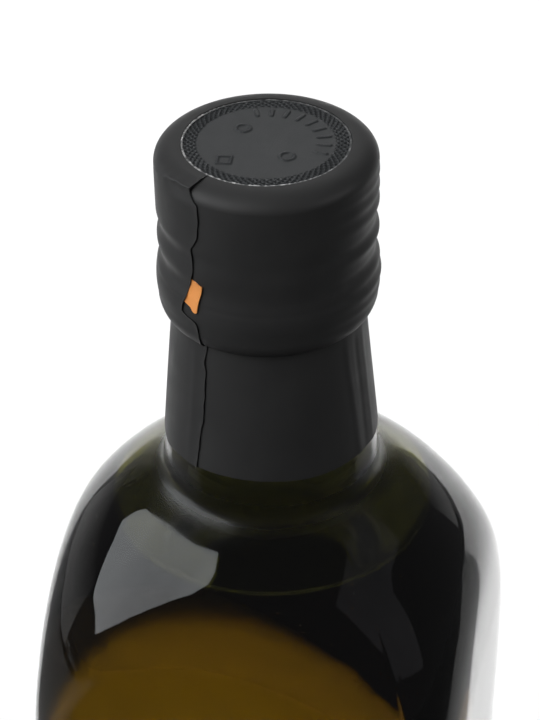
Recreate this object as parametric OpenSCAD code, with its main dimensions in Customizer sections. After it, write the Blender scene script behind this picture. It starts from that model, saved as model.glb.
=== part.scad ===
// Square olive oil bottle: tapered glass body with a domed shoulder, filled with oil
// and closed by a cap under a black shrink capsule with an embossed top disc.
// Millimetres, +Z up, origin at the middle of the foot. The front faces -Y.

/* [Body] */
// Width across the flats at the shoulder
shoulder_w = 69.6; // [58:0.2:84]
// How far each flat leans in from the shoulder down to the foot
side_taper = 4.5; // [0:0.1:7]
// Rounding of the four upright corners
corner_r = 8; // [7:0.5:14]
// Thickness of the side walls
wall = 3; // [1.6:0.1:4.5]

/* [Foot] */
// Rounding between the sides and the foot
heel_r = 5; // [3:0.5:6]
// Width of the flat ring that the bottle stands on
land_w = 3.5; // [2:0.5:6]
// Depth of the hollow under the foot
push_up = 4; // [1:0.5:8]
// Thickness of the bottom
bottom_t = 5; // [3:0.5:8]

/* [Shoulder dome] */
// Height of the dome's widest level
dome_z = 176; // [146:1:212]
// Rise of the dome above its widest level
dome_h = 58.5; // [48:0.5:71]
// How far the dome reaches past the flats, into the corners
dome_out = 10.1; // [6:0.1:13]
// Height above the dome's widest level at which the flats stop widening
crest_rise = 17.5; // [5:0.5:30]
// Sharpness of the turn between flats and dome
dome_blend = 18; // [8:1:24]
// Sharpness of the turn between dome and neck
neck_blend = 20; // [5:1:30]

/* [Neck] */
// Radius of the glass under the cap
neck_r = 14.3; // [12:0.1:18]
// Outward lean of the neck below the cap, in mm for each mm of height
neck_lean = 0.09; // [0.02:0.01:0.14]
// Height of the neck above the dome
neck_h = 50.3; // [45:0.1:61]
// Thickness of the neck's wall
neck_wall = 3.6; // [2.6:0.1:4.6]

/* [Oil] */
// Drop from the mouth to the oil's surface
fill_drop = 64; // [52:0.5:80]
// Gap between the oil and the glass
oil_gap = 0.05; // [0.02:0.01:0.2]

/* [Cap under the capsule] */
// Height of the cap
cap_h = 24.8; // [20:0.1:27]
// Step from the neck out to the cap's side
cap_step = 1.7; // [1:0.1:3]
// Thickness of the cap's top above the mouth
cap_top = 2.2; // [1.6:0.1:4]
// Radial gap between the neck and what covers it
neck_gap = 0.05; // [0.02:0.01:0.2]
// Depth of the two shallow rings round the cap
ring_depth = 0.28; // [0.1:0.02:0.6]
// Swell of the tamper band at the cap's lower edge
band_swell = 0.36; // [0.1:0.02:0.6]
// Height of the band's fullest part above the cap's lower edge
band_rise = 3.2; // [2:0.1:5]

/* [Shrink capsule] */
// Thickness of the film
film_t = 0.25; // [0.15:0.05:0.5]
// Bare glass between the capsule's lower edge and the dome
bare_neck = 2.9; // [1:0.1:8]
// Width of the rolled lip between the side and the top disc
lip_w = 3.95; // [3:0.05:5]
// Height of the rounding at the top of the side
lip_h = 2.6; // [1.5:0.1:4]
// Direction of the upright overlap seam
seam_angle = -114; // [-180:1:180]
// Width of the overlap
lap_angle = 24; // [8:1:60]
// Extra thickness where the film overlaps
lap_t = 0.15; // [0.1:0.05:0.3]

/* [Top disc] */
// Thickness of the disc
disc_t = 0.45; // [0.3:0.05:0.8]
// Depth of the disc's face below the lip
disc_drop = 0.15; // [0.05:0.05:0.4]
// Gap round the disc
disc_gap = 0.05; // [0.02:0.01:0.2]
// Width of the raised ring near the disc's edge
rim_w = 1.9; // [1:0.1:3]
// Height of everything that is raised on the disc
relief = 0.12; // [0.05:0.01:0.15]
// Outer radius of the two small rings
dot_r = 0.95; // [0.6:0.05:1.4]
// Number of bars in the raised arc
bar_count = 9; // [3:1:13]
// Length of a bar, towards the centre
bar_l = 1.4; // [0.8:0.1:2]
// Bare width between the bars and the raised ring
bar_gap = 0.7; // [0.3:0.1:1]

/* [Tear tab] */
// Width of the tab
tab_w = 1.5; // [1:0.1:3]
// Length of the tab
tab_l = 3.9; // [2:0.1:5]
// Thickness of the tab
tab_t = 0.15; // [0.1:0.05:0.3]
// Gap between the tab and the film
tab_gap = 0.1; // [0.02:0.01:0.2]
// Height of the tab's middle above the fullest part of the band
tab_rise = 3.3; // [2:0.1:5]
// Slant of the tab
tab_slant = 14; // [0:1:30]

/* [Hidden] */
$fn = 64;

// Heights that follow from the sizes above
dome_top = dome_z + dome_h;
mouth_z = dome_top + neck_h;
top_z = mouth_z + cap_top;
cap_foot_z = top_z - cap_h;
tuck_h = 2.6;             // height over which the film curls in under the cap
cone_z = cap_foot_z - tuck_h;
oil_z = mouth_z - fill_drop;
film_foot_z = dome_top + bare_neck;
crest_z = dome_z + crest_rise;

// Radii that follow from the neck
film_in_r = neck_r + neck_gap;
cap_r = film_in_r + film_t + cap_step;
disc_r = cap_r - lip_w - disc_gap;
dome_r = shoulder_w / 2 + dome_out;

// How finely the faceted skins are divided
EIGHTH_STEPS = 7;
CROWD = 1.7;              // above 1, the points gather towards the corners
DOME_STEPS = 12;
HEEL_STEPS = 4;
FLOOR_STEPS = 4;
CORNER_LEFT = 1;          // how much less the corners tighten than the heel's rounding takes off
LEAST_CORNER = 1.5;

glass_colour = [0.16, 0.19, 0.08];
oil_colour = [0.45, 0.33, 0.05];
film_colour = [0.10, 0.10, 0.10];
disc_colour = [0.16, 0.17, 0.18];
tab_colour = [0.88, 0.52, 0.24];

// ---- Directions round the axis, crowded towards the four corners ----
function eighth(i) = 45 * (1 - pow(1 - i / EIGHTH_STEPS, CROWD));
function quarter(i) = i <= EIGHTH_STEPS ? eighth(i) : 90 - eighth(2 * EIGHTH_STEPS - i);
ANGLES = [for (q = [0:3], i = [0:2 * EIGHTH_STEPS - 1]) 90 * q + quarter(i)];
SIDES = len(ANGLES);

// ---- Outline of the body: a rounded square, as a radius for each direction ----
function folded(a) = abs((a + 45) % 90 - 45);
function flat_r(a, half) = half / cos(a);
function arc_r(a, half, c) =
    let (k = half - c, b = k * (cos(a) + sin(a)))
    b + sqrt(max(0, b * b - 2 * k * k + c * c));
function square_r(a, half, c) =
    let (f = folded(a))
    half * tan(f) <= half - c ? flat_r(f, half) : arc_r(f, half, c);

// ---- Side view: dome and neck, run into each other ----
function larger(a, b, sharp) = pow(pow(a, sharp) + pow(b, sharp), 1 / sharp);
function smaller(a, b, sharp) = 1 / larger(1 / a, 1 / b, sharp);
function neck_at(z) = neck_r + neck_lean * max(0, cone_z - z);
function dome_at(z, inset) =
    let (t = max(0, z - dome_z) / (dome_h - inset))
    t >= 1 ? 0 : (dome_r - inset) * sqrt(1 - t * t);
function side_at(z, inset, neck_inset) =
    larger(max(1, neck_at(z) - neck_inset), dome_at(z, inset), neck_blend);
function half_w(z) = shoulder_w / 2 - side_taper * max(0, crest_z - z) / crest_z;

// ---- One ring of points; the inset moves it in from the outer skin ----
function ring(z, inset, neck_inset, shrink = 0, round_in = 0) = [
    for (a = ANGLES)
    let (half = half_w(z) - inset - shrink)
    let (c = max(LEAST_CORNER, corner_r - inset - round_in))
    let (r = smaller(square_r(a, half, c), side_at(z, inset, neck_inset), dome_blend))
    [r * cos(a), r * sin(a), z]
];
function raise(points, z) = [for (p = points) [p[0], p[1], z]];
// A smaller copy at height z, rounder the smaller it is; t runs from 0 to 1
function shrunk(points, t, z) =
    let (round_r = points[0][0])
    [for (p = points)
        let (s = t * (round_r / norm([p[0], p[1]]) * (1 - t) + t))
        [p[0] * s, p[1] * s, z]
    ];

// Levels up the body, the dome (even in the ellipse's own angle) and the neck
BODY_LEVELS = [dome_z / 3, dome_z * 2 / 3, dome_z];
NECK_LEVELS = [dome_top + 0.6, dome_top + 3, cone_z];
DOME_END = 88;
function dome_levels(inset) =
    [for (i = [1:DOME_STEPS]) dome_z + (dome_h - inset) * sin(DOME_END * i / DOME_STEPS)];
function levels(inset) = concat(BODY_LEVELS, dome_levels(inset), NECK_LEVELS);
LEVEL_APART = 0.5;
function below(list, z) = [for (v = list) if (v < z - LEVEL_APART) v];
function above(list, z) = [for (v = list) if (v > z + LEVEL_APART) v];
OIL_LEVELS = concat(below(levels(wall), oil_z), [oil_z]);
CAVITY_LEVELS = concat(OIL_LEVELS, above(levels(wall), oil_z), [mouth_z]);

// Rings of a closed bottom: a raised middle, a land, and a rounded heel
function bottom_rings(inset, neck_inset, lift, hollow, radius, land) =
    let (tighten = radius - CORNER_LEFT)
    let (foot = ring(0, inset, neck_inset, radius + land, tighten))
    concat(
        [for (i = [1:FLOOR_STEPS]) let (t = i / (FLOOR_STEPS + 1))
            shrunk(foot, t, lift + hollow * (1 - t * t))],
        [raise(foot, lift)],
        [for (i = [0:HEEL_STEPS])
            let (a = 90 * i / HEEL_STEPS)
            let (z = lift + radius * (1 - cos(a)))
            ring(z, inset, neck_inset, radius * (1 - sin(a)), tighten * (1 - sin(a)))]
    );

// ---- A closed skin over a list of rings, closed by a fan at each end ----
module skin(rings) {
    last = len(rings) - 1;
    bottom_middle = [0, 0, rings[0][0][2]];
    top_middle = [0, 0, rings[last][0][2]];
    points = concat([for (r = rings, p = r) p], [bottom_middle, top_middle]);
    bottom_i = len(points) - 2;
    top_i = len(points) - 1;
    function at(j, i) = j * SIDES + i % SIDES;
    // Each four-sided patch is split from its lower left to its upper right,
    // so skins that run up and down over the same rings stay parallel
    function patch(j, i) = rings[j + 1][0][2] > rings[j][0][2]
        ? [[at(j, i), at(j + 1, i), at(j + 1, i + 1)], [at(j, i), at(j + 1, i + 1), at(j, i + 1)]]
        : [[at(j, i), at(j + 1, i), at(j, i + 1)], [at(j + 1, i), at(j + 1, i + 1), at(j, i + 1)]];
    sides = [for (j = [0:last - 1], i = [0:SIDES - 1]) each patch(j, i)];
    fans = [for (i = [0:SIDES - 1]) each [
        [bottom_i, at(0, i), at(0, i + 1)],
        [top_i, at(last, i + 1), at(last, i)]
    ]];
    polyhedron(points, concat(sides, fans));
}

function reversed(list) = [for (i = [len(list) - 1:-1:0]) list[i]];

OUTER_RINGS = concat(
    bottom_rings(0, 0, 0, push_up, heel_r, land_w),
    [for (z = concat(levels(0), [mouth_z])) ring(z, 0, 0)]
);

// The room inside the glass; the gap shrinks it for what fills it
function cavity_rings(gap, heights) = concat(
    bottom_rings(wall + gap, neck_wall + gap, bottom_t + gap, push_up, heel_r, land_w),
    [for (z = heights) ring(z, wall + gap, neck_wall + gap)]
);

module bottle() {
    color(glass_colour)
        skin(concat(OUTER_RINGS, reversed(cavity_rings(0, CAVITY_LEVELS))));
}

module oil() {
    color(oil_colour)
        skin(cavity_rings(oil_gap, OIL_LEVELS));
}

// ---- Capsule, as a side view in [radius, height] points ----
function bump(d, at, half) = abs(d - at) >= half ? 0 : (1 + cos(180 * (d - at) / half)) / 2;
RING_STEP = 4.9;          // the two rings lie one and two steps above the band
RING_HALF = 2.6;
BAND_HALF = 4.4;
band_d = cap_h - band_rise;
function ring_cut(d) =
    ring_depth * (bump(d, band_d - RING_STEP, RING_HALF) + bump(d, band_d - 2 * RING_STEP, RING_HALF));
function cap_side(d) = cap_r - ring_cut(d) + band_swell * bump(d, band_d, BAND_HALF);
SIDE_STEP = 0.8;
LIP_STEPS = 6;
TUCK_STEPS = 5;
TUCK_RISE = 1.2;          // how far above the cap's edge the film starts to curl in
tuck_z = cap_foot_z + TUCK_RISE;
function lip_line(grow) = [
    for (i = [0:LIP_STEPS])
    let (a = 90 * i / LIP_STEPS)
    [cap_r - lip_w + lip_w * sin(a) + grow * sin(a), top_z - lip_h * (1 - cos(a)) + grow * cos(a)]
];
function side_line(grow) = [
    for (d = [lip_h + SIDE_STEP:SIDE_STEP:top_z - tuck_z])
    [cap_side(d) + grow, top_z - d]
];
function tuck_line(grow) =
    let (out_r = cap_side(top_z - tuck_z), in_r = film_in_r + film_t, drop = tuck_z - cone_z)
    [for (i = [1:TUCK_STEPS])
        let (a = 90 * i / TUCK_STEPS)
        [in_r + (out_r - in_r) * cos(a) + grow, tuck_z - drop * sin(a)]
    ];
function foot_line(grow) = [[neck_at(film_foot_z) + neck_gap + film_t + grow, film_foot_z]];
function film_line(grow) = concat(lip_line(grow), side_line(grow), tuck_line(grow), foot_line(grow));

pocket_z = top_z - disc_drop - disc_t;

module capsule_body() {
    rotate_extrude()
        polygon(concat(
            [[0, mouth_z], [0, pocket_z], [cap_r - lip_w, pocket_z]],
            film_line(0),
            [[neck_at(film_foot_z) + neck_gap, film_foot_z], [film_in_r, cone_z], [film_in_r, mouth_z]]
        ));
}

// The end of the film lies over its beginning as a second, thicker strip
module overlap() {
    outside = concat(side_line(lap_t), tuck_line(lap_t), foot_line(lap_t));
    inside = concat(side_line(-film_t / 2), tuck_line(-film_t / 2), foot_line(-film_t / 2));
    rotate([0, 0, seam_angle - lap_angle])
        rotate_extrude(angle = lap_angle)
            polygon(concat(outside, reversed(inside)));
}

module capsule() {
    color(film_colour)
    union() {
        capsule_body();
        overlap();
    }
}

// ---- Embossed disc in the top of the capsule ----
face_z = top_z - disc_drop;
EDGE_W = 0.3;             // bare edge outside the raised ring
BAR_W = 0.5;
FIRST_BAR = -8;
BAR_SPAN = 122;
DOT_ANGLES = [145, -40];
DOT_STEP = 3.3;           // the small rings lie this far inside the bars
MARK_ANGLE = -126;
MARK_W = 1.6;
MARK_LINE = 0.35;
rise = relief * 2;        // half of each raised shape is sunk in the disc
rim_in_r = disc_r - EDGE_W - rim_w;
bar_mid_r = rim_in_r - bar_gap - bar_l / 2;

module placed(angle, distance) {
    rotate([0, 0, angle])
        translate([distance, 0, 0])
            children();
}

module tube(outer, inner) {
    difference() {
        cylinder(r = outer, h = rise);
        translate([0, 0, -rise]) cylinder(r = inner, h = rise * 3);
    }
}

module raised_bars() {
    for (i = [0:bar_count - 1])
        placed(FIRST_BAR + BAR_SPAN * i / (bar_count - 1), bar_mid_r - bar_l / 2)
            translate([0, -BAR_W / 2, 0]) cube([bar_l, BAR_W, rise]);
}

module small_rings() {
    for (a = DOT_ANGLES)
        placed(a, bar_mid_r - DOT_STEP)
            tube(dot_r, dot_r * 0.6);
}

module square_mark() {
    hole_w = MARK_W - 2 * MARK_LINE;
    placed(MARK_ANGLE, bar_mid_r - bar_gap)
        rotate([0, 0, 45])
            difference() {
                translate([-MARK_W / 2, -MARK_W / 2, 0]) cube([MARK_W, MARK_W, rise]);
                translate([-hole_w / 2, -hole_w / 2, -rise]) cube([hole_w, hole_w, rise * 3]);
            }
}

module top_disc() {
    color(disc_colour)
    union() {
        translate([0, 0, face_z - disc_t]) cylinder(r = disc_r, h = disc_t);
        translate([0, 0, face_z - relief]) {
            tube(disc_r - EDGE_W, rim_in_r);
            small_rings();
            raised_bars();
            square_mark();
        }
    }
}

// ---- End of the tear strip, standing out beside the overlap ----
TAB_BESIDE = 3;           // turn from the seam to the tab's middle

module tear_tab() {
    tab_d = band_d - tab_rise;
    low_r = cap_side(tab_d + tab_l / 2);
    high_r = cap_side(tab_d - tab_l / 2);
    tilt = atan((low_r - high_r) / tab_l);
    mid_r = (low_r + high_r) / 2 + tab_gap + tab_t / 2;
    color(tab_colour)
    placed(seam_angle + TAB_BESIDE, mid_r)
        translate([0, 0, top_z - tab_d])
            rotate([0, -tilt, 0])
                rotate([tab_slant, 0, 0])
                    cube([tab_t, tab_w, tab_l], center = true);
}

bottle();
oil();
capsule();
top_disc();
tear_tab();
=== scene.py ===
"""Olive oil bottle: square dark green glass, oil, black shrink capsule, embossed disc and tear tab.

The shapes are worked out in millimetres, with numpy, and scaled to metres when a mesh is made.
"""
import math

import bpy
import numpy as np
from mathutils import Matrix, Vector


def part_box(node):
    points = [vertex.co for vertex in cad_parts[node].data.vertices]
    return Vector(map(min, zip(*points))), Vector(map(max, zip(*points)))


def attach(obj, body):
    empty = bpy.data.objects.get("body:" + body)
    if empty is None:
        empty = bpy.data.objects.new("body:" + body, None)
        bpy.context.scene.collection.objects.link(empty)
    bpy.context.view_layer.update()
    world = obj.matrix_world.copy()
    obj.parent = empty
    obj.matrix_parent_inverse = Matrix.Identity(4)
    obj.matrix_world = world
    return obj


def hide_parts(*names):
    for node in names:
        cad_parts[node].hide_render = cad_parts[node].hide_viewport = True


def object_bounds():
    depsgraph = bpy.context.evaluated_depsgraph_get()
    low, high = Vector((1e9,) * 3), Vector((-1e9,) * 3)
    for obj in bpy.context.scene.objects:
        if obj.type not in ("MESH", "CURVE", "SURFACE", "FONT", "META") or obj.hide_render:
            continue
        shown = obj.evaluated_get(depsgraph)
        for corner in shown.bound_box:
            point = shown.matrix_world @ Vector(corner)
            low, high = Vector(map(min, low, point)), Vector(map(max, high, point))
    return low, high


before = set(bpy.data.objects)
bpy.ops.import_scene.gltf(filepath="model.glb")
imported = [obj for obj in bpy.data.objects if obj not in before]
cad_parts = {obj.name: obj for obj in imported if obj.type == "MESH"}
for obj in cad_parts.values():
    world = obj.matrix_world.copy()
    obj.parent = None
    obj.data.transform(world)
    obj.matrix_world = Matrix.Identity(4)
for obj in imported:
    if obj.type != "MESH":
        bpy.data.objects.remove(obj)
cad_box = [[float(x) for x in corner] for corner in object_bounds()]
MM = 0.001


def box_mm(node):
    low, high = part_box(node)
    return np.array(low) / MM, np.array(high) / MM


# ---------------------------------------------------------------- sizes, mm
FILM_LOW, FILM_HIGH = box_mm("capsule")
DISC_LOW, DISC_HIGH = box_mm("top_disc")
MOUTH_Z = box_mm("bottle")[1][2]
OIL_Z = box_mm("oil")[1][2]
TOP_Z = FILM_HIGH[2]
FILM_FOOT_Z = FILM_LOW[2]

# the glass
HALF_W = 34.8              # half the width across the flats, at its widest
SIDE_TAPER = 4.5           # how far each side leans in by the foot
CREST_Z = 193.5            # where the sides are widest
CORNER_R = 8.0
LEAST_CORNER = 1.5
WALL = 3.0
NECK_WALL = 3.6
HEEL_R = 5.0
LAND_W = 3.5               # width of the flat ring that the bottle stands on
PUSH_UP = 4.0
BOTTOM_T = 5.0
DOME_Z = 176.0             # middle, height and radius of the shoulder's dome
DOME_H = 58.5
DOME_R = 44.9
DOME_BLEND = 18.0          # sharpness of the bend from sides to dome
NECK_BLEND = 20.0          # and from dome to neck
NECK_R = 14.3
NECK_LEAN = 0.09           # how much the neck widens for each mm down
LEAST_R = 0.001

# the capsule, as drops below its top and degrees round it
CAP_R = 16.3
CAP_H = 24.8
LIP_W = 3.95
LIP_H = 2.6
FILM_T = 0.25
NECK_GAP = 0.05
TUCK_H = 2.6
TUCK_RISE = 1.2
LAP_T = 0.15
SEAM_TURN = -114.0         # the overlap's edge
FRONT_TURN = -75.0         # the side that the photo shows
BAND_DROP = 21.6           # the swelling over the cap's lower rim
BAND_HALF = 4.4
BAND_OUT = 0.36
RING_DROPS = (16.7, 11.8)  # the grooves round the cap
RING_HALF = 2.3
CONE_DROP = CAP_H + TUCK_H
CONE_Z = TOP_Z - CONE_DROP
FOOT_DROP = TOP_Z - FILM_FOOT_Z

# the disc
DISC_R = DISC_HIGH[0]
FACE_Z = TOP_Z - 0.15
DISC_BOTTOM_Z = DISC_LOW[2]


# ---------------------------------------------------------------- small tools
def smooth(x, low, high):
    """0 below low, 1 above high, and a smooth run between."""
    t = np.clip((x - low) / (high - low), 0, 1)
    return t * t * (3 - 2 * t)


def bump(x, at, half):
    """A raised cosine of height 1, with its middle at one place."""
    return np.where(np.abs(x - at) < half, (1 + np.cos(np.pi * (x - at) / half)) / 2, 0)


def between(x, rise_from, rise_to, fall_from, fall_to):
    """0, then 1 from one place to another, then 0 again, with smooth runs."""
    return smooth(x, rise_from, rise_to) * (1 - smooth(x, fall_from, fall_to))


def turned(a, at):
    """How far direction a lies from direction at, in degrees from -180 to 180."""
    return (np.degrees(a) - at + 180) % 360 - 180


def waves(a, v, seed, amount, lobes, per_mm, count=7):
    """A soft random ripple over direction a and height v; it closes round the axis."""
    rng = np.random.default_rng(seed)
    total = 0
    for _ in range(count):
        m = rng.integers(1, lobes + 1)
        q = rng.uniform(-per_mm, per_mm)
        total = total + rng.uniform(0.5, 1) * np.sin(m * a + 2 * np.pi * q * v + rng.uniform(0, 6.28))
    return amount * total / math.sqrt(count)


def add_object(name, data):
    obj = bpy.data.objects.new(name, data)
    bpy.context.scene.collection.objects.link(obj)
    return obj


def skin(name, grid, sharp=35):
    """A closed mesh over rings of points, each ring anticlockwise, fanned shut at both ends."""
    rings, count = grid.shape[:2]
    middles = grid[[0, -1]].mean(axis=1)
    points = np.concatenate([grid.reshape(-1, 3), middles]) * MM
    j, i = np.meshgrid(np.arange(rings - 1), np.arange(count), indexing="ij")
    right = (i + 1) % count
    low, high = j * count, (j + 1) * count
    quads = np.stack([low + i, low + right, high + right, high + i], axis=-1).reshape(-1, 4)
    i = np.arange(count)
    right = (i + 1) % count
    first, last = rings * count, rings * count + 1
    start = np.stack([np.full(count, first), right, i], axis=-1)
    end = np.stack([np.full(count, last), (rings - 1) * count + i, (rings - 1) * count + right], axis=-1)
    mesh = bpy.data.meshes.new(name)
    mesh.from_pydata(points.tolist(), [], quads.tolist() + start.tolist() + end.tolist())
    mesh.shade_smooth()
    mesh.set_sharp_from_angle(angle=math.radians(sharp))
    return add_object(name, mesh)


def mark_points(obj, name, values):
    """Keeps one number for each point, for the material to read."""
    attribute = obj.data.attributes.new(name, "FLOAT", "POINT")
    attribute.data.foreach_set("value", np.asarray(values, dtype=np.float32))


def placed(obj, node, material):
    """Gives a piece its material, hangs it under the root body and hides the CAD node that it replaces."""
    obj.data.materials.append(material)
    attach(obj, "root")
    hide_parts(node)
    return obj


# ---------------------------------------------------------------- node helpers
FACTOR, COLOUR_A, COLOUR_B, MIXED = 0, 6, 7, 2     # the sockets of a Mix node for colours


class Shader:
    """A material's node tree, built a node at a time."""

    def __init__(self, name):
        self.material = bpy.data.materials.new(name)
        self.material.use_nodes = True
        self.tree = self.material.node_tree
        self.tree.nodes.clear()
        self.output = self.node("ShaderNodeOutputMaterial")
        self.place = self.node("ShaderNodeTexCoord").outputs["Object"]

    def node(self, kind, inputs=(), **settings):
        made = self.tree.nodes.new(kind)
        for key, value in settings.items():
            setattr(made, key, value)
        for key, value in dict(inputs).items():
            self.put(made.inputs[key], value)
        return made

    def put(self, socket, value):
        if isinstance(value, bpy.types.NodeSocket):
            self.tree.links.new(value, socket)
        else:
            socket.default_value = value

    def math(self, operation, a, b):
        return self.node("ShaderNodeMath", {0: a, 1: b}, operation=operation).outputs[0]

    def noise(self, scale, detail=4.0, roughness=0.5, place=None):
        return self.node("ShaderNodeTexNoise", {
            "Vector": place or self.place, "Scale": scale, "Detail": detail, "Roughness": roughness,
        }).outputs["Fac"]

    def stretched(self, x, y, z):
        """Texture places scaled along each axis: below 1, the pattern is drawn out."""
        return self.node("ShaderNodeMapping", {"Vector": self.place, "Scale": (x, y, z)}).outputs[0]

    def span(self, value, low, high, to_low, to_high):
        """Maps low..high to to_low..to_high, and stops at both ends."""
        return self.node("ShaderNodeMapRange", {
            "Value": value, "From Min": low, "From Max": high, "To Min": to_low, "To Max": to_high,
        }).outputs[0]

    def mix(self, factor, a, b):
        inputs = {FACTOR: factor, COLOUR_A: a, COLOUR_B: b}
        return self.node("ShaderNodeMix", inputs, data_type="RGBA").outputs[MIXED]

    def bump(self, height, distance):
        inputs = {"Height": height, "Distance": distance, "Strength": 1.0}
        return self.node("ShaderNodeBump", inputs).outputs[0]

    def attribute(self, name):
        return self.node("ShaderNodeAttribute", attribute_name=name).outputs["Fac"]

    def surface(self, shader):
        self.tree.links.new(shader, self.output.inputs["Surface"])

    def volume(self, colour, density):
        made = self.node("ShaderNodeVolumeAbsorption", {"Color": colour, "Density": density})
        self.tree.links.new(made.outputs[0], self.output.inputs["Volume"])


def absorption(per_metre):
    """The colour and density of a Volume Absorption node, for a loss per metre in red, green, blue."""
    density = max(per_metre) * 1.02     # a little over the largest loss, so that no channel is quite black
    return tuple(1 - loss / density for loss in per_metre) + (1.0,), density


# ---------------------------------------------------------------- outline of the glass
def square_r(a, half, corner):
    """The radius in each direction of a square with rounded corners."""
    folded = np.abs((a + math.pi / 4) % (math.pi / 2) - math.pi / 4)
    k = half - corner
    b = k * (np.cos(folded) + np.sin(folded))
    arc = b + np.sqrt(np.maximum(0, b * b - 2 * k * k + corner * corner))
    return np.where(half * np.tan(folded) <= k, half / np.cos(folded), arc)


def larger(a, b, sharp):
    """The larger of two radii, with a soft bend where they meet."""
    return (a ** sharp + b ** sharp) ** (1 / sharp)


def smaller(a, b, sharp):
    return 1 / larger(1 / a, 1 / b, sharp)


def neck_at(z):
    """The neck's radius: straight inside the cap, then wider towards the dome."""
    return NECK_R + NECK_LEAN * max(0.0, CONE_Z - z)


def dome_at(z, inset):
    t = max(0.0, z - DOME_Z) / (DOME_H - inset)
    return LEAST_R if t >= 1 else (DOME_R - inset) * math.sqrt(1 - t * t) + LEAST_R


def half_at(z):
    return HALF_W - SIDE_TAPER * max(0.0, CREST_Z - z) / CREST_Z


GLASS_POINTS = 320
CROWD = 0.18               # how far the directions crowd towards the four corners
EVEN_A = np.arange(GLASS_POINTS) / GLASS_POINTS * 2 * math.pi
GLASS_A = EVEN_A + CROWD * np.sin(4 * EVEN_A)


def outline(z, inset=0.0, neck_inset=0.0, shrink=0.0, round_in=0.0):
    """The radius in each direction at height z, inset from the outer skin."""
    corner = max(LEAST_CORNER, CORNER_R - inset - round_in)
    side = larger(max(1.0, neck_at(z) - neck_inset), dome_at(z, inset), NECK_BLEND)
    return smaller(square_r(GLASS_A, half_at(z) - inset - shrink, corner), side, DOME_BLEND)


def ring(radius, z):
    return np.stack([radius * np.cos(GLASS_A), radius * np.sin(GLASS_A), np.zeros_like(GLASS_A) + z], axis=-1)


MOULD_TURNS = (-45, 135)
MOULD_H = 0.03
MOULD_HALF = 0.9           # degrees to each side
NECK_FOOT_Z = 231.0        # where the dome bends up into the neck
FOOT_HALF = 6.0
FOOT_WAVE = 0.02
OUTER_WAVE = 0.03
INNER_WAVE = 0.16
INNER_RIPPLE = 0.03


def outer_skin_r(z, radius):
    """The outside is a little uneven, with the mould's seam up two opposite corners.

    The bend at the neck's foot has a finer ripple of its own."""
    fade = between(z, 8, 30, 236, 246)
    seam = sum(bump(turned(GLASS_A, t), 0, MOULD_HALF) for t in MOULD_TURNS)
    foot = FOOT_WAVE * bump(z, NECK_FOOT_Z, FOOT_HALF) * waves(GLASS_A, z, 17, 1.0, 16, 0.09)
    return radius + fade * (waves(GLASS_A, z, 11, OUTER_WAVE, 5, 0.02) + MOULD_H * seam) + foot


def inner_skin_r(z, radius):
    """The inside is wavier, as no mould touched it."""
    fade = between(z, 12, 40, 232, 244)
    wave = waves(GLASS_A, z, 23, INNER_WAVE, 6, 0.022)
    return radius + fade * (wave + waves(GLASS_A, z, 29, INNER_RIPPLE, 14, 0.06))


def bottom(inset, neck_inset, lift):
    """Rings from the middle of a pushed-up bottom, over the land and round the heel."""
    tighten = HEEL_R - 1
    foot = outline(0, inset, neck_inset, HEEL_R + LAND_W, tighten)
    rings = []
    for t in np.linspace(0.08, 0.97, 14):
        rounded = t * (foot[0] / foot * (1 - t) + t)
        rings.append(ring(foot * rounded, lift + PUSH_UP * (1 - t * t)))
    rings.append(ring(foot, lift))
    for a in np.linspace(0, math.pi / 2, 10):
        z = lift + HEEL_R * (1 - math.cos(a))
        left = 1 - math.sin(a)
        rings.append(ring(outline(z, inset, neck_inset, HEEL_R * left, tighten * left), z))
    return rings


# heights of the rings above the heel, closest together where the neck begins
LEVELS = np.concatenate([
    np.linspace(16, DOME_Z, 26), np.linspace(DOME_Z + 3, 214, 20), np.linspace(215, 240, 56),
    [243, 248, 256, 266, 276],
])


def glass_shell():
    """The hollow glass, up its outside and down its inside, and how many rings the outside has."""
    outer = bottom(0, 0, 0) + [ring(outer_skin_r(z, outline(z)), z) for z in LEVELS]
    outer.append(ring(outline(MOUTH_Z), MOUTH_Z))
    inner = bottom(WALL, NECK_WALL, BOTTOM_T)
    inner += [ring(inner_skin_r(z, outline(z, WALL, NECK_WALL)), z) for z in LEVELS]
    inner.append(ring(outline(MOUTH_Z, WALL, NECK_WALL), MOUTH_Z))
    return skin("glass_body", np.array(outer + inner[::-1])), len(outer)


# ---------------------------------------------------------------- oil
REACH = 0.12               # how far the oil reaches into the glass
MENISCUS_H = 0.9           # how far the oil climbs the glass, and how soon that dies away
MENISCUS_W = 1.1
CONTACT_Z = OIL_Z + MENISCUS_H


def oil_body():
    inset, neck_inset = WALL - REACH, NECK_WALL - REACH
    sides = bottom(inset, neck_inset, BOTTOM_T - REACH)
    heights = [z for z in LEVELS if z < CONTACT_Z - 0.2] + [CONTACT_Z]
    sides += [ring(inner_skin_r(z, outline(z, inset, neck_inset)), z) for z in heights]
    edge = np.hypot(sides[-1][:, 0], sides[-1][:, 1])
    top = []
    for s in np.concatenate([np.linspace(0.15, 3, 14), np.linspace(4, edge.min() - 1, 10)]):
        top.append(ring(edge - s, OIL_Z + MENISCUS_H * math.exp(-s / MENISCUS_W)))
    obj = skin("oil_fill", np.array(sides + top))
    wet_rings, dry_rings = np.ones(len(sides) * GLASS_POINTS), np.zeros(len(top) * GLASS_POINTS)
    mark_points(obj, "wet", np.concatenate([wet_rings, dry_rings, [1, 0]]))
    return obj


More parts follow.
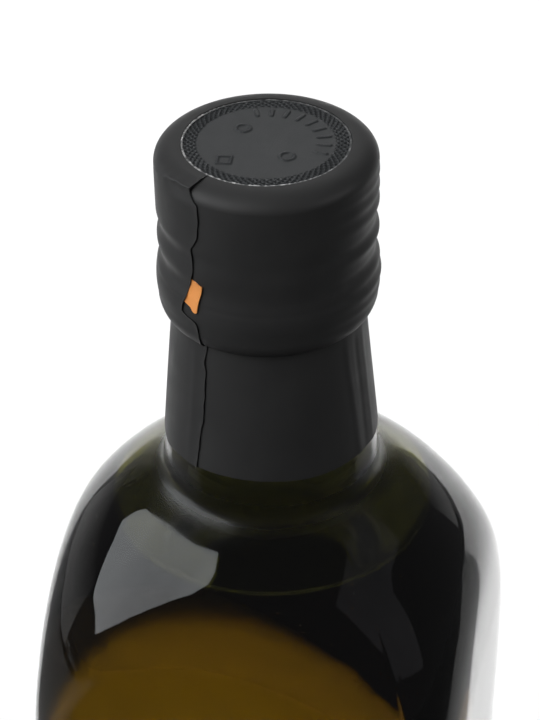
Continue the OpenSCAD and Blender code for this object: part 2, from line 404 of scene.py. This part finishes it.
# ---------------------------------------------------------------- shrink capsule
# Where the overlap's edge wanders to, as (drop below the top, turn from SEAM_TURN)
SEAM_LINE = [
    (0, -2.8), (0.5, -3.4), (0.9, -4.8), (1.3, -3.6), (2.5, 2.0), (4.4, 2.8), (8.2, 1.6), (10.2, -3),
    (13.3, -1.8), (15.7, -3.2), (18, -6), (20.9, -9.3), (21.7, -9.5), (22.4, -0.3), (24.2, 0.7),
    (28.7, 0.4), (30.4, -1), (32.5, 0.1), (40.5, -0.4), (43.2, -2), (50, -3.8),
]
SEAM_REACH = 25.0          # degrees over which the mesh follows the edge's wandering
TAB_DROP = 18.3            # the overlap gapes where the tear tab comes out
TAB_HALF = 4.5
RING_SLANT = 0.004         # mm for each degree
RING_FRONT = 0.05          # the grooves' depth at the front, and what the sides add
RING_SIDES = 0.42
PLEAT_H = 0.10             # fine pleats round the right side of the cap
PLEAT_PITCH = 2.45
PLEAT_SLANT = 0.012
# fine grooves under the cap's rim, as (drop, how far it wanders, half width, depth)
GROOVES = [(24.3, 0.2, 0.8, 0.05), (19.6, 0.0, 0.7, 0.03)]
# creases down the neck, as (turn from FRONT_TURN, drift in degrees for each mm, height)
CREASES = [
    (52, 0.25, 0.10), (60, 0.1, -0.09), (69, 0.05, 0.08), (-48, -0.1, 0.06), (118, 0.1, 0.1),
    (-150, 0.2, 0.1), (168, -0.1, 0.08),
]
CREASE_HALF = 2.6
FOLD_DROP = 0.8            # the fold's corner: its drop at the overlap, and what it adds further left
FOLD_FALL = 1.9
FOOT_H = 12.0              # the film's last stretch, where its foot begins to wander
CUT_EDGE = 0.14            # how far the overlap's edge falls to the layer below
FOOT_EDGE = 0.16


def seam_at(drop):
    """Where the overlap's edge lies at a drop below the top, in degrees from SEAM_TURN."""
    fine = np.linspace(0, 52, 521)
    drops, turns = np.array(SEAM_LINE).T
    line = np.interp(fine, drops, turns)
    soft = np.convolve(np.pad(line, 3, mode="edge"), np.ones(7) / 7, mode="valid")
    return np.interp(drop, fine, soft) + 0.25 * np.sin(drop * 2.1) * np.sin(drop * 0.7 + 1)


def band(drop):
    return BAND_OUT * bump(drop, BAND_DROP, BAND_HALF)


def film_profile():
    """The outside of the film from the disc's pocket to its foot, as (radius, drop)."""
    lip_a = np.linspace(0, math.pi / 2, 40)
    lip = [(CAP_R - LIP_W + LIP_W * math.sin(a), LIP_H * (1 - math.cos(a))) for a in lip_a]
    tuck_drop = CAP_H - TUCK_RISE
    side = [(CAP_R + float(band(d)), d) for d in np.linspace(LIP_H, tuck_drop, 78)[1:]]
    out_r, in_r = side[-1][0], NECK_R + NECK_GAP + FILM_T
    tuck = [
        (in_r + (out_r - in_r) * math.cos(a), tuck_drop + (CONE_DROP - tuck_drop) * math.sin(a))
        for a in np.linspace(0, math.pi / 2, 16)[1:]
    ]
    foot_r = neck_at(FILM_FOOT_Z) + NECK_GAP + FILM_T
    cone = [
        (in_r + (foot_r - in_r) * t, CONE_DROP + (FOOT_DROP - CONE_DROP) * t)
        for t in np.linspace(0, 1, 44)[1:]
    ]
    return lip + side + tuck + cone


def film_relief(a, drop):
    """How far the shrunk film stands in or out from its plain profile."""
    from_front = turned(a, FRONT_TURN)
    sides = smooth(np.abs(from_front), 22, 72)
    right = between(from_front, 22, 70, 130, 160)
    below_lip = smooth(drop, 2.6, 4.5)
    neck = smooth(drop, 27, 31)
    rings = sum(bump(drop + RING_SLANT * from_front, d, RING_HALF) for d in RING_DROPS)
    pleats = np.sin(2 * math.pi * (drop - PLEAT_SLANT * from_front) / PLEAT_PITCH)
    relief = -rings * (RING_FRONT + RING_SIDES * sides)
    relief = relief + PLEAT_H * right * below_lip * (1 - smooth(drop, 22, 25)) * pleats
    relief = relief + waves(a, drop, 5, 0.05, 5, 0.03) * below_lip
    for at, wander, half, depth in GROOVES:
        relief = relief - depth * bump(drop, at + wander * np.sin(3 * a), half)
    for turn, drift, height in CREASES:
        at = from_front - turn - drift * (drop - 38)
        relief = relief + neck * height * np.exp(-(at / CREASE_HALF) ** 2)
    return relief + (waves(a, drop, 8, 0.045, 7, 0.02) - 0.08) * neck


def fold_relief(turn, drop, r):
    """The corner where the upper layer was folded down over the top edge, left of the overlap."""
    line = FOLD_DROP + FOLD_FALL * smooth(-turn, 8, 50) + 0.05 * np.sin(turn * 0.7)
    slope_r = CAP_R - LIP_W + LIP_W * np.sqrt(1 - (1 - np.minimum(line, LIP_H) / LIP_H) ** 2)
    corner_r = slope_r + 0.45 * (CAP_R - slope_r)
    above = (corner_r - slope_r) * smooth(drop, 0.3 * line, line)
    below = corner_r + (CAP_R - corner_r) * smooth(drop, line, line + 2.6) - min(r, CAP_R)
    settled = 1 - smooth(drop, 5, 7)
    return smooth(turn, -75, -50) * settled * np.where(drop < line, above, below)


def film_mesh():
    even = np.linspace(0.6, 359.0, 400)
    # one way round from the overlap's edge: under it, along the lower layer, and out on the upper layer
    under = [-1.0, -0.35, 0.2]
    turn_from_seam = np.concatenate([under, even, [359.35, 359.7, 359.9, 360, 359.95]])
    count = len(turn_from_seam)
    signed = (turn_from_seam + 180) % 360 - 180
    signed[:len(under)] = under
    upper = np.arange(count) > count // 2
    near = np.exp(-(signed / SEAM_REACH) ** 2)
    rings = []
    for r, drop in film_profile():
        tab = float(bump(drop, TAB_DROP, TAB_HALF))
        turn = SEAM_TURN + turn_from_seam + float(seam_at(drop)) * near
        turn[0] -= 2.0 * tab
        a = np.radians(turn)
        fade = float(smooth(drop, 0.02, 0.9))
        open_edge = float(smooth(drop, -0.1, 0.15))
        lap = LAP_T * (1 - smooth(-signed, 4, 60))
        curl = (0.10 + 0.14 * tab + 0.05 * math.sin(drop * 1.7)) * np.exp(signed / (1.6 + 5 * tab))
        step = np.where(upper, lap + curl, 0) * open_edge
        step[-1] = max(0.03, step[-2] - CUT_EDGE)
        step[1] -= 0.02
        step[2] -= 0.05 * open_edge
        fold = np.where(upper & (signed < 0), fold_relief(np.minimum(signed, 0), drop, r), 0)
        lift = film_relief(a, np.full(count, drop)) * fade + fold * fade
        out = r + lift + step
        z = TOP_Z - drop + step * (1 - float(smooth(drop, 0.3, LIP_H)))
        if drop > FOOT_DROP - FOOT_H:
            reach = smooth(drop, FOOT_DROP - FOOT_H, FOOT_DROP)
            notch = 0.9 * bump(turned(a, -151), 0, 22)
            z = z - reach * (0.18 * np.sin(2 * a + 1) + 0.12 * np.sin(5 * a) + notch)
            z = z + reach * 0.25
        rings.append(np.stack([out * np.cos(a), out * np.sin(a), z], axis=-1))
    first, last = rings[0], rings[-1]

    def moved(base, radius, z):
        """A ring in the directions of another, at one radius and height."""
        direction = base[:, :2] / np.hypot(base[:, 0], base[:, 1])[:, None]
        return np.concatenate([direction * radius, np.full((count, 1), z)], axis=1)

    pocket = [moved(first, r, DISC_BOTTOM_Z) for r in (1.0, 6.0, CAP_R - LIP_W)]
    edge = last.copy()
    edge[:, :2] *= 1 - FOOT_EDGE / np.hypot(last[:, 0], last[:, 1])[:, None]
    edge[:, 2] -= 0.05
    inside = [moved(last, neck_at(FILM_FOOT_Z) + NECK_GAP, FILM_FOOT_Z + 0.3)]
    inside += [moved(last, NECK_R + NECK_GAP, z) for z in (CONE_Z, MOUTH_Z)]
    inside += [moved(last, r, MOUTH_Z) for r in (6.0, 1.0)]
    return skin("capsule_film", np.array(pocket + rings + [edge] + inside), sharp=50)


# ---------------------------------------------------------------- embossed disc
EDGE_W = 0.3
RIM_W = 1.9
RELIEF = 0.18
BAR_COUNT = 9
BAR_L = 2.0
BAR_W = 0.6
FIRST_BAR = -8             # the bars' arc, in degrees
BAR_SPAN = 122
DOT_R = 1.3
DOT_TURNS = (145, -40)
MARK_TURN = -126
MARK_W = 2.3
DIAMONDS = 66              # hollows round the rim
DIAMOND_L = 0.95
RIB_H = 0.12
HOLLOW_D = 0.27
EDGE_TURN = -125           # the side on which the foil's cut edge stands highest and its painted highlight is brightest
EDGE_H = 0.16
DISC_POINTS = 880
RIM_IN_R = DISC_R - EDGE_W - RIM_W
BAR_R = RIM_IN_R - 0.7 - BAR_L / 2
DOT_AT = BAR_R - 3.3
MARK_AT = BAR_R - 0.7


def raised(distance, edge):
    """1 inside a raised shape, falling over its soft edge to 0 outside."""
    return 1 - smooth(distance, -edge, edge)


def disc_relief(r, a):
    """The height of the embossing: two small rings, an arc of bars, a square and the ribbed rim."""
    x, y = r * np.cos(a), r * np.sin(a)
    height = 0.03 * np.sin(0.45 * x + 1) * np.cos(0.5 * y) - 0.05 * (r / DISC_R) ** 2
    for turn in DOT_TURNS:
        t = math.radians(turn)
        off = np.hypot(x - DOT_AT * math.cos(t), y - DOT_AT * math.sin(t))
        height = height + RELIEF * raised(np.abs(off - DOT_R * 0.8) - 0.2, 0.14)
        height = height - 0.04 * raised(off - 0.5, 0.2)
    for n in range(BAR_COUNT):
        t = math.radians(FIRST_BAR + BAR_SPAN * n / (BAR_COUNT - 1))
        along = x * math.cos(t) + y * math.sin(t) - BAR_R
        across = -x * math.sin(t) + y * math.cos(t)
        off = np.hypot(np.maximum(np.abs(along) - BAR_L / 2 + 0.2, 0), across) - BAR_W / 2
        height = height + RELIEF * raised(off, 0.13)
    t = math.radians(MARK_TURN)
    u, v = x - MARK_AT * math.cos(t), y - MARK_AT * math.sin(t)
    s = math.radians(45 + MARK_TURN)
    off = np.maximum(np.abs(u * math.cos(s) + v * math.sin(s)), np.abs(-u * math.sin(s) + v * math.cos(s)))
    height = height + RELIEF * raised(np.abs(off - MARK_W / 2 + 0.18) - 0.16, 0.12)
    # crossed ribs with diamond hollows between them
    rim_out_r = DISC_R - EDGE_W
    in_rim = between(r, RIM_IN_R - 0.15, RIM_IN_R + 0.15, rim_out_r - 0.15, rim_out_r + 0.1)
    skew = 2 * math.pi * (r - RIM_IN_R) / DIAMOND_L
    hollow = np.abs(np.sin(DIAMONDS / 2 * a + skew / 2)) * np.abs(np.sin(DIAMONDS / 2 * a - skew / 2))
    return height + in_rim * (RIB_H - HOLLOW_D * hollow ** 0.8)


def crinkle(a):
    """1 where the foil's cut edge stands up; the same mask paints a near-white highlight on the edge,
    strongest towards EDGE_TURN.
    """
    rough = waves(a, 0, 41, 1.0, 110, 0, 16) + waves(a, 0, 43, 0.6, 40, 0, 8)
    front = 0.25 + 0.75 * smooth(np.cos(a - math.radians(EDGE_TURN)), -0.35, 0.35)
    return np.clip(0.62 + 0.4 * rough, 0.12, 1) * front


def disc_mesh():
    a = np.arange(DISC_POINTS) / DISC_POINTS * 2 * math.pi
    inner = np.linspace(0.15, RIM_IN_R - 0.2, 62)
    outer = np.linspace(RIM_IN_R - 0.1, DISC_R - 0.38, 26)
    bright = crinkle(a)
    lift = EDGE_H * bright
    rings = []
    marks = []

    def add(radius, z, mark=0.0):
        radius, z, mark = (np.zeros(DISC_POINTS) + value for value in (radius, z, mark))
        rings.append(np.stack([radius * np.cos(a), radius * np.sin(a), z], axis=-1))
        marks.append(mark)

    for r in (1.0, DISC_R - 0.1):
        add(r, DISC_BOTTOM_Z)
    add(DISC_R, DISC_BOTTOM_Z + 0.1)
    # the cut edge: up the disc's side, over the crinkled crest and down to the face; the crest's points also
    # carry the painted highlight mask
    add(DISC_R, FACE_Z)
    add(DISC_R - 0.02, FACE_Z + lift * 0.8, bright)
    add(DISC_R - 0.20 - 0.10 * crinkle(a + 1), FACE_Z + lift, bright)
    add(DISC_R - 0.32 - 0.04 * crinkle(a + 2), FACE_Z + 0.02)
    for r in np.concatenate([outer[::-1], inner[::-1]]):
        add(r, FACE_Z + disc_relief(np.full(DISC_POINTS, r), a))
    obj = skin("foil_disc", np.array(rings))
    # each point's share of the painted near-white highlight on the cut edge
    mark_points(obj, "painted_edge_glint", np.concatenate(marks + [[0.0, 0.0]]))
    return obj


# ---------------------------------------------------------------- tear tab
TAB_T = 0.15
# the strip's corners, as (drop, turn from SEAM_TURN)
TAB_TOP_LEFT, TAB_TOP_RIGHT = np.array([(15.4, -5.2), (16.1, 3.4)])
TAB_FOOT_LEFT, TAB_FOOT_RIGHT = np.array([(19.8, -8.0), (20.1, 0.9)])


def tab_mesh():
    u, v = np.meshgrid(np.linspace(0, 1, 26), np.linspace(0, 1, 34))
    top = TAB_TOP_LEFT + (TAB_TOP_RIGHT - TAB_TOP_LEFT) * u[..., None]
    foot = TAB_FOOT_LEFT + (TAB_FOOT_RIGHT - TAB_FOOT_LEFT) * u[..., None]
    at = top + (foot - top) * v[..., None]
    drop, turn = at[..., 0], at[..., 1]
    drop = drop + 0.75 * v * bump(u, 0.8, 0.5) + 0.05 * np.sin(9 * u) * (1 - v)
    turn = turn + 0.25 * np.sin(5 * v + 1) * u
    base = CAP_R + band(drop) - 0.15 * sum(bump(drop, d, RING_HALF) for d in RING_DROPS)
    lift = 0.01 + 0.16 * smooth(u, 0.25, 1.0) + 0.04 * u * np.sin(4 * v + 0.5)
    a = np.radians(SEAM_TURN + turn)

    def sheet(offset):
        r = base + lift + offset
        return np.stack([r * np.cos(a), r * np.sin(a), TOP_Z - drop], axis=-1)

    # rings run round the strip: back, edge, face, edge
    back, face = sheet(0), sheet(TAB_T)
    rings = np.concatenate([back[:, ::-1], face], axis=1)
    return skin("tear_strip", rings[::-1], sharp=40)


# ---------------------------------------------------------------- materials
GLASS_LOSS = (345.0, 350.0, 640.0)      # red, green and blue light lost for each metre
OIL_LOSS = (4.0, 12.5, 90.0)
GLASS_IOR = 1.52
OIL_IOR = 1.47
DULL = 0.34                             # the roughness that the ring at the neck's foot adds


def wetted(sh, principled, ior):
    """Where the oil wets the glass, light only bends, with no reflection."""
    bend = sh.node("ShaderNodeBsdfRefraction", {"Color": (1, 1, 1, 1), "Roughness": 0.0, "IOR": ior})
    both = sh.node("ShaderNodeMixShader", {0: sh.attribute("wet"), 1: principled, 2: bend.outputs[0]})
    return both.outputs[0]


def glass_material():
    sh = Shader("antique_green_glass")
    smudge = sh.noise(45, 5, 0.6)
    dust = sh.node("ShaderNodeTexVoronoi", {"Vector": sh.place, "Scale": 520}).outputs["Distance"]
    dull = sh.math("MULTIPLY", sh.attribute("dull"), DULL)
    roughness = sh.math("ADD", sh.span(smudge, 0.45, 0.75, 0.0, 0.05), dull)
    specks = sh.math("MULTIPLY", sh.math("LESS_THAN", dust, 0.09), 0.2)
    ripple = sh.math("ADD", sh.noise(70, 2, 0.4), specks)
    principled = sh.node("ShaderNodeBsdfPrincipled", {
        "Base Color": (1, 1, 1, 1), "Roughness": roughness, "IOR": GLASS_IOR, "Transmission Weight": 1.0,
        "Normal": sh.bump(ripple, 0.00006),
    })
    sh.surface(wetted(sh, principled.outputs[0], GLASS_IOR))
    sh.volume(*absorption(GLASS_LOSS))
    return sh.material


def oil_material():
    sh = Shader("golden_olive_oil")
    principled = sh.node("ShaderNodeBsdfPrincipled", {
        "Base Color": (1, 1, 1, 1), "Roughness": 0.0, "IOR": OIL_IOR, "Transmission Weight": 1.0,
        "Normal": sh.bump(sh.noise(40, 2, 0.4), 0.00002),
    })
    sh.surface(wetted(sh, principled.outputs[0], OIL_IOR))
    sh.volume(*absorption(OIL_LOSS))
    return sh.material


def film_material():
    sh = Shader("black_shrink_film")
    mottle = sh.noise(160, 5, 0.6)
    drawn = sh.noise(260, 3, 0.55, sh.stretched(1, 1, 0.16))
    grain = sh.noise(5200, 2, 0.5)
    colour = sh.mix(mottle, (0.027, 0.027, 0.0275, 1), (0.038, 0.038, 0.0375, 1))
    height = sh.math("ADD", sh.math("MULTIPLY", drawn, 0.6), sh.math("MULTIPLY", grain, 0.12))
    principled = sh.node("ShaderNodeBsdfPrincipled", {
        "Base Color": colour, "Roughness": sh.span(mottle, 0.3, 0.7, 0.46, 0.58), "IOR": 1.5,
        "Specular IOR Level": 0.32, "Normal": sh.bump(height, 0.00006),
    })
    sh.surface(principled.outputs[0])
    return sh.material


def disc_material():
    sh = Shader("embossed_disc")
    cells = sh.node("ShaderNodeTexVoronoi", {"Vector": sh.place, "Scale": 2300, "Randomness": 0.0})
    dots = sh.span(cells.outputs["Distance"], 0.12, 0.3, 1, 0)
    mottle = sh.noise(300, 5, 0.6)
    plain = sh.mix(mottle, (0.020, 0.022, 0.024, 1), (0.030, 0.033, 0.035, 1))
    # Painted highlight: along the cut edge the colour is raised towards near-white in speckles, standing in
    # for the edge's sparkle
    glint = sh.span(sh.noise(1500, 3, 0.6), 0.4, 0.6, 0.4, 1.0)
    shine = sh.math("MULTIPLY", sh.attribute("painted_edge_glint"), glint)
    colour = sh.mix(shine, plain, (0.80, 0.80, 0.79, 1))
    grain = sh.math("MULTIPLY", sh.noise(2600, 3, 0.6), 0.5)
    height = sh.math("ADD", sh.math("MULTIPLY", dots, 0.5), grain)
    principled = sh.node("ShaderNodeBsdfPrincipled", {
        "Base Color": colour, "Roughness": sh.span(mottle, 0.3, 0.7, 0.40, 0.5), "IOR": 1.5,
        "Normal": sh.bump(height, 0.00004),
    })
    sh.surface(principled.outputs[0])
    return sh.material


def tab_material():
    sh = Shader("orange_tear_tape")
    streak = sh.noise(900, 4, 0.6, sh.stretched(1, 1, 0.15))
    colour = sh.mix(streak, (0.96, 0.33, 0.075, 1), (1.0, 0.43, 0.13, 1))
    principled = sh.node("ShaderNodeBsdfPrincipled", {
        "Base Color": colour, "Roughness": sh.span(streak, 0.3, 0.7, 0.4, 0.55), "IOR": 1.48,
        "Normal": sh.bump(streak, 0.00003),
    })
    sh.surface(principled.outputs[0])
    return sh.material


def floor_material():
    sh = Shader("pale_paper")
    fibre = sh.noise(900, 4, 0.6)
    colour = sh.mix(sh.noise(6, 3, 0.5), (0.80, 0.80, 0.80, 1), (0.84, 0.84, 0.84, 1))
    principled = sh.node("ShaderNodeBsdfPrincipled", {
        "Base Color": colour, "Roughness": 0.9, "Specular IOR Level": 0.1, "Normal": sh.bump(fibre, 0.0001),
    })
    sh.surface(principled.outputs[0])
    return sh.material


# ---------------------------------------------------------------- build the pieces
glass, outer_rings = glass_shell()
glass_z = np.array([v.co.z for v in glass.data.vertices]) / MM
outside = np.arange(len(glass_z)) < outer_rings * GLASS_POINTS
wet = ~outside & (glass_z < CONTACT_Z)
wet[-2:] = False, True     # the middles of the bottom's outside and inside
mark_points(glass, "wet", wet)
# The bend at the neck's foot is rougher than the rest, only to soften the key softbox's second reflection
mark_points(glass, "dull", np.where(outside, bump(glass_z, NECK_FOOT_Z + 0.5, 5.5), 0))
placed(glass, "bottle", glass_material())
oil = placed(oil_body(), "oil", oil_material())
film = placed(film_mesh(), "capsule", film_material())
disc = placed(disc_mesh(), "top_disc", disc_material())
tab = placed(tab_mesh(), "tear_tab", tab_material())
PIECES = [glass, oil, film, disc, tab]


# ---------------------------------------------------------------- floor, lights, camera; metres
VIEW_TURN = math.radians(15)            # the photo was taken this far round from the front
SHOULDER = Vector((0, 0, 0.22))
PANEL_Z = 0.6                           # height of the panels over the floor
PATCH_CORNER = (-0.146, 0.012)          # near corner of the floor's lit patch, as the camera sees it
PATCH_TURN = math.radians(28.8)
WHITE = (1, 1, 1, 1)


def seen(x, y, z):
    """A place given right of, behind and above the object, as the camera sees it."""
    c, s = math.cos(VIEW_TURN), math.sin(VIEW_TURN)
    return Vector((c * x - s * y, s * x + c * y, z))


def aimed(turn, rise, distance):
    """A place seen from the shoulder at a turn to the right of the camera's side and a rise above level."""
    t, e = math.radians(turn), math.radians(rise)
    return SHOULDER + seen(math.sin(t) * math.cos(e), -math.cos(t) * math.cos(e), math.sin(e)) * distance


def sweep(name, height):
    """A pale floor that curves up into a backdrop behind the object, as the camera sees it."""
    front, back, wall_h, curve, half = -1.8, 2.0, 0.9, 0.5, 1.8
    bend = np.linspace(0, math.pi / 2, 14)[1:]
    line = [(front, 0.0)] + [(y, 0.0) for y in np.linspace(front + 0.2, back - curve, 16)]
    line += [(back - curve + curve * math.sin(a), curve * (1 - math.cos(a))) for a in bend]
    line += [(back, z) for z in np.linspace(curve + 0.1, wall_h, 6)]
    xs = np.linspace(-half, half, 25)
    points = [(x, y, z) for y, z in line for x in xs]
    n = len(xs)
    faces = [
        (j * n + i, j * n + i + 1, (j + 1) * n + i + 1, (j + 1) * n + i)
        for j in range(len(line) - 1) for i in range(n - 1)
    ]
    mesh = bpy.data.meshes.new(name)
    mesh.from_pydata(points, [], faces)
    mesh.shade_smooth()
    obj = add_object(name, mesh)
    mesh.materials.append(floor_material())
    obj.rotation_euler = (0, 0, VIEW_TURN)
    obj.location = (0, 0, height)
    obj.visible_shadow = False
    return obj


def area_light(name, at, towards, size, radiance, spread=180):
    """A soft panel of a given radiance: its power is that times its area and pi."""
    data = bpy.data.lights.new(name, "AREA")
    data.shape = "RECTANGLE"
    data.size, data.size_y = size
    data.energy = radiance * math.pi * size[0] * size[1]
    data.spread = math.radians(spread)
    obj = add_object(name, data)
    obj.location = at
    obj.rotation_euler = (towards - at).to_track_quat("-Z", "Y").to_euler()
    obj.visible_camera = False
    return obj


def floor_panel(name, across, behind, radiance, spread):
    """A gridded panel over the floor behind the object; it lights just what lies under it.

    Both ranges start from PATCH_CORNER, and run along the edges of the patch."""
    u, w = sum(across) / 2, sum(behind) / 2
    c, s = math.cos(PATCH_TURN), math.sin(PATCH_TURN)
    x, y = PATCH_CORNER[0] + c * u - s * w, PATCH_CORNER[1] + s * u + c * w
    size = (across[1] - across[0], behind[1] - behind[0])
    light = area_light(name, seen(x, y, PANEL_Z), seen(x, y, 0), size, radiance, spread)
    light.rotation_euler = (0, 0, VIEW_TURN + PATCH_TURN)
    return light


def panel_light(name, corners, turn, rise, radiance, colour=WHITE, fade=None):
    """A flat softbox one metre from the shoulder; corners are across and up from its middle, in metres.

    It may fade out between two heights."""
    middle = aimed(turn, rise, 1.0)
    facing = (SHOULDER - middle).normalized()
    across = Vector((0, 0, 1)).cross(-facing).normalized()
    upward = (-facing).cross(across)
    mesh = bpy.data.meshes.new(name)
    mesh.from_pydata([middle + across * u + upward * v for u, v in corners], [], [list(range(len(corners)))])
    sh = Shader(name)
    folds = sh.noise(3.2, 3, 0.6, sh.stretched(1, 1, 0.35))
    cloth = sh.span(folds, 0.3, 0.7, 0.86 * radiance, 1.14 * radiance)
    if fade:
        height = sh.node("ShaderNodeSeparateXYZ", {"Vector": sh.place}).outputs["Z"]
        cloth = sh.math("MULTIPLY", cloth, sh.span(height, *fade, 1, 0.1))
    sh.surface(sh.node("ShaderNodeEmission", {"Color": colour, "Strength": cloth}).outputs[0])
    mesh.materials.append(sh.material)
    obj = add_object(name, mesh)
    obj.visible_camera = False
    return obj


def light_only(pieces, *lights):
    """These lights fall on these pieces alone, as if the rest were shaded from them."""
    for light in lights:
        group = bpy.data.collections.new(light.name + "_lights")
        for piece in pieces:
            group.objects.link(piece)
        light.light_linking.receiver_collection = group


# The floor is made twice. The camera sees the first, which is lit evenly. The glass reflects and bends
# the second, which is lit as the photo's studio was: bright behind the object and dark before it.
floor = sweep("floor", 0)
floor.visible_glossy = floor.visible_diffuse = floor.visible_transmission = False
studio_floor = sweep("studio_floor", -0.001)
studio_floor.visible_camera = False
light_only(
    [studio_floor, *PIECES],
    floor_panel("floor_light", (0, 2.0), (0, 1.9), 1.33, 2.6),
    floor_panel("right_floor_light", (0.30, 1.8), (-0.22, 0), 0.36, 5),
    floor_panel("left_floor_light", (-0.9, 0), (0.05, 1.2), 0.22, 5),
    area_light("wall_light", seen(0.1, 1.2, 1.0), seen(0.1, 2.0, 0.3), (2.6, 0.4), 1.6, spread=120),
)
KEY_CORNERS = [
    (-0.42, -0.16), (-0.31, -0.216), (-0.114, -0.407), (0.025, -0.437), (0.146, -0.482), (0.22, -0.39),
    (0.42, -0.02), (0.59, 0.35), (0.64, 0.57), (0.57, 0.68), (0.40, 0.74), (0.21, 0.49), (0.04, 0.33),
    (-0.10, 0.225), (-0.25, 0.10), (-0.35, 0.04), (-0.40, -0.05),
]
LEFT_CORNERS = [(-0.36, -0.2), (0.36, -0.2), (0.36, 0.16), (-0.36, 0.16)]
RIGHT_CORNERS = [(-0.2, -0.12), (0.22, -0.12), (0.22, 0.2), (-0.2, 0.16)]
ROOM_CORNERS = [
    (-0.45, 0.25), (-0.30, -0.45), (-0.02, -0.55), (0.02, -0.05), (0.12, 0.02), (0.42, 0.05), (0.5, 0.5),
]
light_only(
    PIECES,
    panel_light("key_softbox", KEY_CORNERS, -96, 28, 2.3, (0.97, 1.0, 1.03, 1)),
    panel_light("left_wall", LEFT_CORNERS, -124, -2, 0.42, fade=(0.12, 0.40)),
    panel_light("right_wall", RIGHT_CORNERS, 138, 4, 0.38, fade=(0.20, 0.46)),
    panel_light("right_room", ROOM_CORNERS, 72, 32, 0.20, (1, 1, 1.05, 1)),
    area_light("top_softbox", aimed(178, 46, 1.3), SHOULDER, (1.0, 0.5), 1.5),
)
light_only(
    [film, disc, tab],
    area_light("fill_softbox", aimed(-55, 36, 1.0), SHOULDER, (0.7, 0.7), 3.4),
    area_light("right_fill_softbox", aimed(72, 30, 1.0), SHOULDER, (0.6, 0.6), 2.2),
)
light_only([floor], area_light("room_light", Vector((0, 0, 2.4)), Vector((0, 0, 0)), (3.6, 3.6), 3.1))

# The room is dim, but white where the camera looks past the floor
world = bpy.data.worlds.new("studio")
bpy.context.scene.world = world
world.use_nodes = True
nodes, links = world.node_tree.nodes, world.node_tree.links
looked_at = nodes.new("ShaderNodeLightPath").outputs["Is Camera Ray"]
shade = nodes.new("ShaderNodeMix")
shade.data_type = "RGBA"
shade.inputs[COLOUR_A].default_value = (0.09, 0.09, 0.092, 1)
shade.inputs[COLOUR_B].default_value = WHITE
links.new(looked_at, shade.inputs[FACTOR])
links.new(shade.outputs[MIXED], nodes["Background"].inputs["Color"])

scene = bpy.context.scene
scene.view_settings.view_transform = "Standard"
scene.cycles.use_denoising = True
scene.cycles.max_bounces = 24
scene.cycles.transmission_bounces = 20
scene.cycles.glossy_bounces = 8
scene.cycles.diffuse_bounces = 4
scene.cycles.caustics_reflective = False
scene.cycles.caustics_refractive = False
scene.cycles.sample_clamp_indirect = 6.0

# The camera looks down on the top, which lies near the upper edge of the frame
IMAGE_H = 720
SENSOR = 36
FOCUS = 2434.0             # focal length, in pixels of that image
DISTANCE = 0.350
RISE = math.radians(30.5)
TOP_UP = 219.0             # how far above the frame's middle the top's centre shows, in pixels
TOP_LEFT = -0.1
ROLL = math.radians(1.02)
top = Vector((0, 0, cad_box[1][2]))
spot = top + seen(0, -math.cos(RISE), math.sin(RISE)) * DISTANCE
pitch = RISE + math.atan2(TOP_UP, FOCUS)
swing = math.atan2(TOP_LEFT, FOCUS)
forward = seen(math.sin(swing), math.cos(swing) * math.cos(pitch), -math.cos(swing) * math.sin(pitch))
right = forward.cross(Vector((0, 0, 1))).normalized()
up = right.cross(forward)
turned_right = right * math.cos(ROLL) + up * -math.sin(ROLL)
turned_up = right * math.sin(ROLL) + up * math.cos(ROLL)
camera_data = bpy.data.cameras.new("camera")
camera_data.sensor_width = SENSOR
camera_data.lens = FOCUS / IMAGE_H * SENSOR
camera_data.clip_start = 0.01
camera = add_object("camera", camera_data)
axes = (turned_right, turned_up, -forward, spot)
camera.matrix_world = Matrix([[axis[row] for axis in axes] for row in range(3)] + [[0, 0, 0, 1]])
scene.camera = camera
